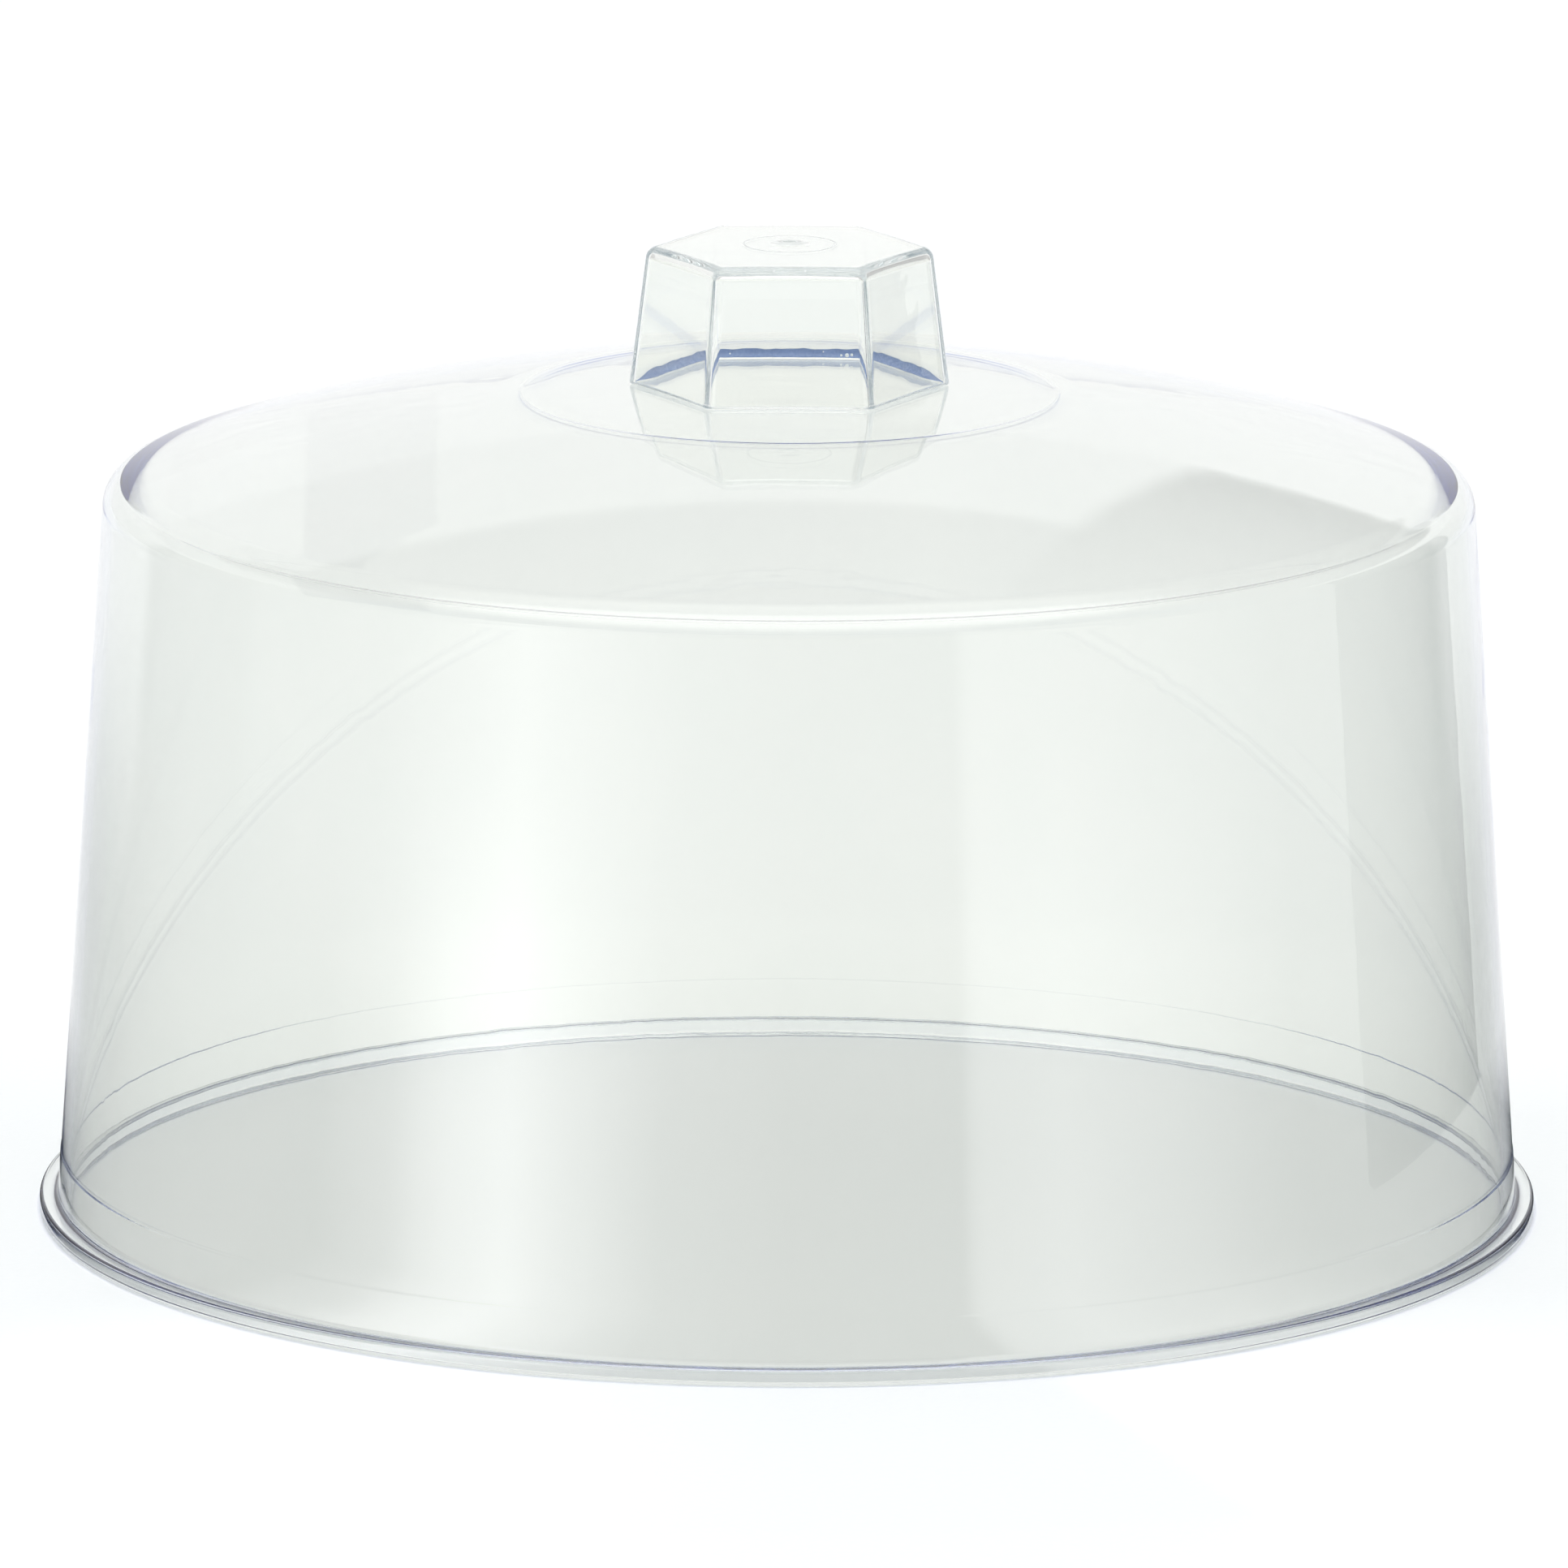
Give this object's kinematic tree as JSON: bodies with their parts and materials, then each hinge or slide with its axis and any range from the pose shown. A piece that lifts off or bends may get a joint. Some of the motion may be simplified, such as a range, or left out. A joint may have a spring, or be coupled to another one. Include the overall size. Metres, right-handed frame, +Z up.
{
  "type": "domed display cover",
  "caption": "Clear round display cover, open below, with a drafted wall, turned-out rim, rounded shoulder, shallow domed crown and a hollow hexagonal knob cemented on top.",
  "frame": {"origin": "centre of the rim's flat underside, on the cover's axis", "axes": "+Z up along the cover's axis, out of the knob; one flat of the hexagonal knob faces -Y, two corners point along +X and -X"},
  "size_m": [0.3048, 0.3048, 0.1985],
  "materials": {
    "clear_moulding": "clear injection-moulded styrene acrylonitrile, polished tool, faint cool grey-green cast",
    "clear_knob": "clear injection-moulded styrene acrylonitrile, polished tool",
    "solvent_cement": "dried solvent cement, glassy, blue-grey with small bubbles"
  },
  "bodies": {
    "root": {"cover_shell": "clear_moulding", "hex_knob": "clear_knob", "cement_bead": "solvent_cement"}
  },
  "joints": []
}
